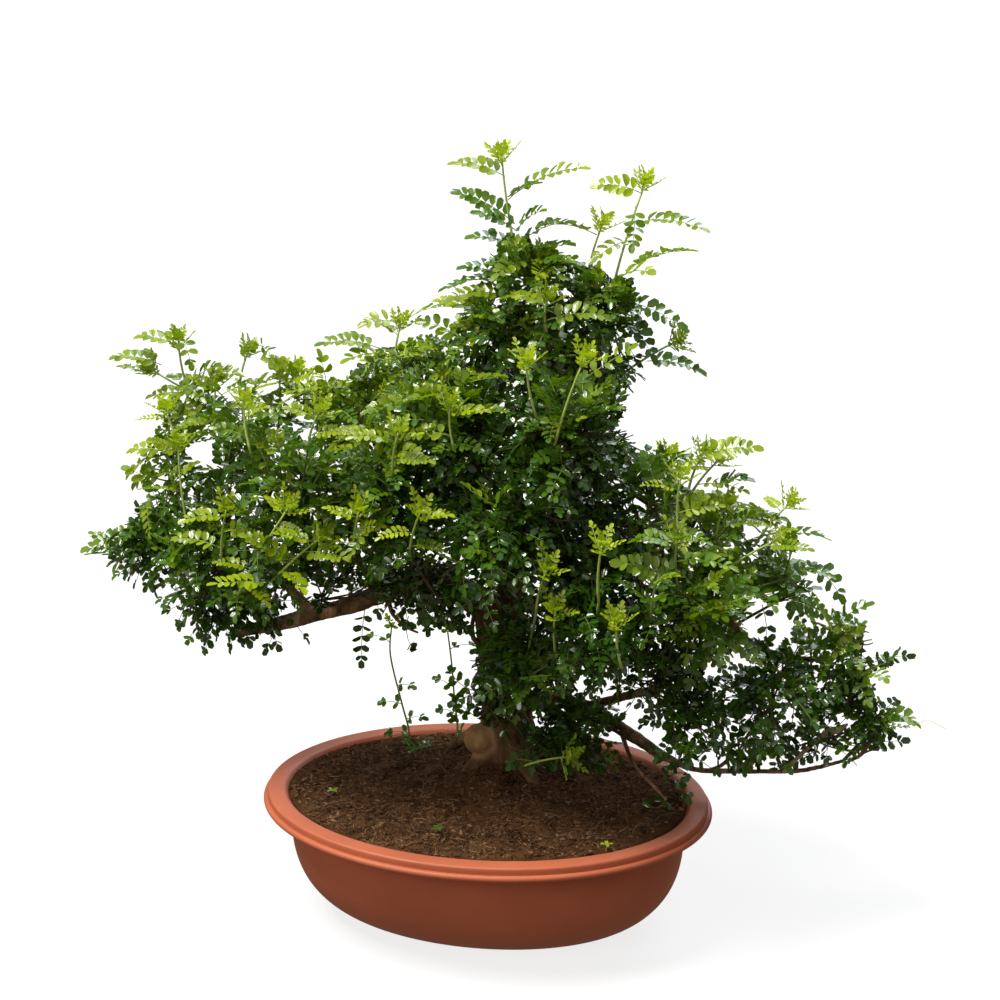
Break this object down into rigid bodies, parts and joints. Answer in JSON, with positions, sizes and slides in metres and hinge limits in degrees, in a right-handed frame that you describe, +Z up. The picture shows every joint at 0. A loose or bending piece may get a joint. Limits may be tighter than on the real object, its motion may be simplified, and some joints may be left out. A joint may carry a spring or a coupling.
{
  "type": "potted bonsai tree",
  "caption": "Bonsai tree with small pinnate leaves, a long left limb and a low right limb, growing from a filled oval training pot.",
  "frame": {"origin": "centre of the pot's flat base", "axes": "+X along the pot's long axis to the right of the tree's front, +Y to its back, +Z up"},
  "size_m": [0.799, 0.4124, 0.696],
  "materials": {
    "terracotta_plastic": "matt terracotta-coloured moulded plastic with light scratches",
    "potting_soil": "loose dark coir and bark fibre",
    "bark": "rough grey-brown bark, fissured on the trunk",
    "foliage": "glossy green leaflets, dark when old and yellow-green when new"
  },
  "bodies": {
    "root": {"apex_spray_1": "foliage", "apex_spray_2": "foliage", "back_spray_1": "foliage", "back_spray_2": "foliage", "back_spray_3": "foliage", "back_spray_4": "foliage", "back_spray_5": "foliage", "back_spray_6": "foliage", "back_spray_7": "foliage", "back_spray_8": "foliage", "back_spray_9": "foliage", "left_spray_1": "foliage", "left_spray_2": "foliage", "left_spray_3": "foliage", "left_spray_4": "foliage", "left_spray_5": "foliage", "left_spray_6": "foliage", "left_spray_7": "foliage", "left_spray_8": "foliage", "low_right_spray_1": "foliage", "low_right_spray_2": "foliage", "low_right_spray_3": "foliage", "low_right_spray_4": "foliage", "middle_spray_1": "foliage", "middle_spray_2": "foliage", "middle_spray_3": "foliage", "middle_spray_4": "foliage", "pot": "terracotta_plastic", "right_spray_1": "foliage", "right_spray_2": "foliage", "right_spray_3": "foliage", "right_spray_4": "foliage", "skirt_spray_1": "foliage", "skirt_spray_2": "foliage", "skirt_spray_3": "foliage", "soil": "potting_soil", "sucker_left": "foliage", "sucker_near_trunk": "foliage", "trunk_and_limbs": "bark"}
  },
  "joints": []
}
